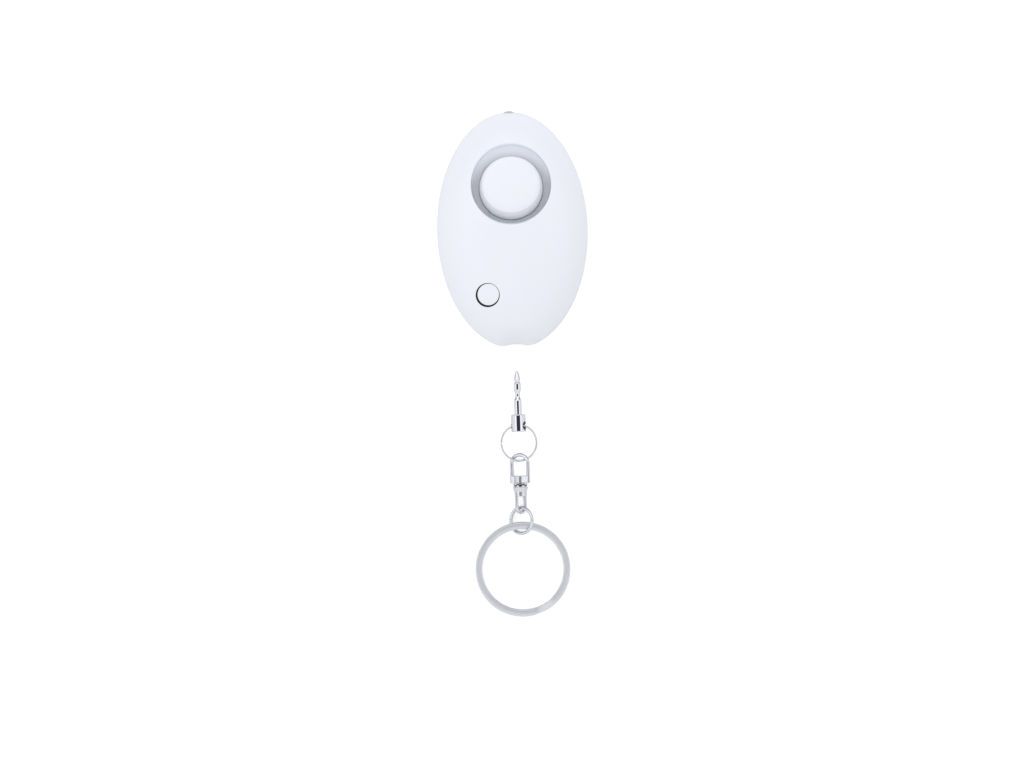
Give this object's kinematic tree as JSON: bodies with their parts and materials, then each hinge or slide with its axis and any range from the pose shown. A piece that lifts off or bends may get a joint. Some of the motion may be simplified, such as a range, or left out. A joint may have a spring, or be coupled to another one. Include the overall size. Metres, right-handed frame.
{
  "type": "personal safety alarm",
  "caption": "Oval white hand alarm with a round siren, a light button and an end lamp, its pull pin drawn out on a swivel chain with a split key ring.",
  "frame": {"origin": "centre of the flat back of the case", "axes": "+X across the case, +Y along the case towards the lamp, +Z out of the siren side; the drawn-out pin and its chain lie towards -Y"},
  "size_m": [0.0398, 0.1336, 0.0165],
  "materials": {
    "shell": "white ABS, fine moulded satin",
    "inner_plastic": "natural moulded",
    "dark_plastic": "moulded",
    "lamp_epoxy": "clear epoxy",
    "laminate": "green solder resist on glass laminate",
    "copper_winding": "enamelled copper wire",
    "brass": "rolled sheet",
    "ceramic": "silvered face",
    "cell_steel": "nickel plated",
    "spring_bronze": "plated spring strip",
    "screw_steel": "zinc plated",
    "red_lead": "PVC insulation",
    "black_lead": "PVC insulation",
    "pin_chrome": "bright nickel plate",
    "wire_nickel": "bright nickel plate",
    "ring_nickel": "satin nickel plate"
  },
  "bodies": {
    "case": {"front_shell": "shell", "rear_shell": "shell", "battery_door": "shell", "case_screws": "screw_steel", "door_screw": "screw_steel", "siren_disc": "shell", "resonator": "inner_plastic", "piezo_plate": "brass", "piezo_ceramic": "ceramic", "circuit_board": "laminate", "control_chip": "dark_plastic", "step_up_coil": "copper_winding", "driver_transistor": "dark_plastic", "small_components": "ceramic", "tact_switch": "dark_plastic", "lamp": "lamp_epoxy", "lamp_leads": "red_lead", "siren_leads": "black_lead", "button_cells": "cell_steel", "plus_contact": "spring_bronze", "minus_contact": "spring_bronze", "socket_bush": "brass", "leaf_contact": "spring_bronze", "fixed_contact": "spring_bronze"},
    "light_button": {"light_button": "shell", "switch_plunger": "dark_plastic"},
    "pin": {"pull_pin": "pin_chrome", "pin_ferrule": "pin_chrome"},
    "link_ring": {"link_ring": "wire_nickel"},
    "shackle": {"swivel_shackle": "wire_nickel"},
    "swivel": {"swivel_post": "wire_nickel", "swivel_loop": "wire_nickel"},
    "jump_ring": {"jump_ring": "wire_nickel"},
    "key_ring": {"key_ring": "ring_nickel"}
  },
  "joints": [
    {"name": "button_press", "type": "slide", "parent": "case", "child": "light_button", "axis": [0, 0, -1], "range_m": [0, 0.0005], "stiffness_N_per_m": 400},
    {"name": "pin_in", "type": "slide", "parent": "case", "child": "pin", "axis": [0, 1, 0], "range_m": [0, 0.0183]},
    {"name": "ring_swing", "type": "hinge", "parent": "pin", "child": "link_ring", "pos_m": [0, -0.05159, 0.0025], "axis": [0.9848, 0, -0.1736], "range_deg": [-80, 80]},
    {"name": "shackle_slide", "type": "hinge", "parent": "link_ring", "child": "shackle", "pos_m": [-0.00002, -0.0561, 0.00238], "axis": [0.1736, -0.0271, 0.9844], "range_deg": [-45, 45]},
    {"name": "swivel_turn", "type": "hinge", "parent": "shackle", "child": "swivel", "pos_m": [0, -0.06671, 0.00225], "axis": [0, 1, 0], "continuous": true},
    {"name": "jump_ring_swing", "type": "hinge", "parent": "swivel", "child": "jump_ring", "pos_m": [0, -0.07316, 0.00242], "axis": [0.8192, 0, 0.5736], "range_deg": [-70, 70]},
    {"name": "key_ring_turn", "type": "hinge", "parent": "jump_ring", "child": "key_ring", "pos_m": [0, -0.08947, 0.00162], "axis": [0, -0.0689, 0.9976], "continuous": true}
  ]
}
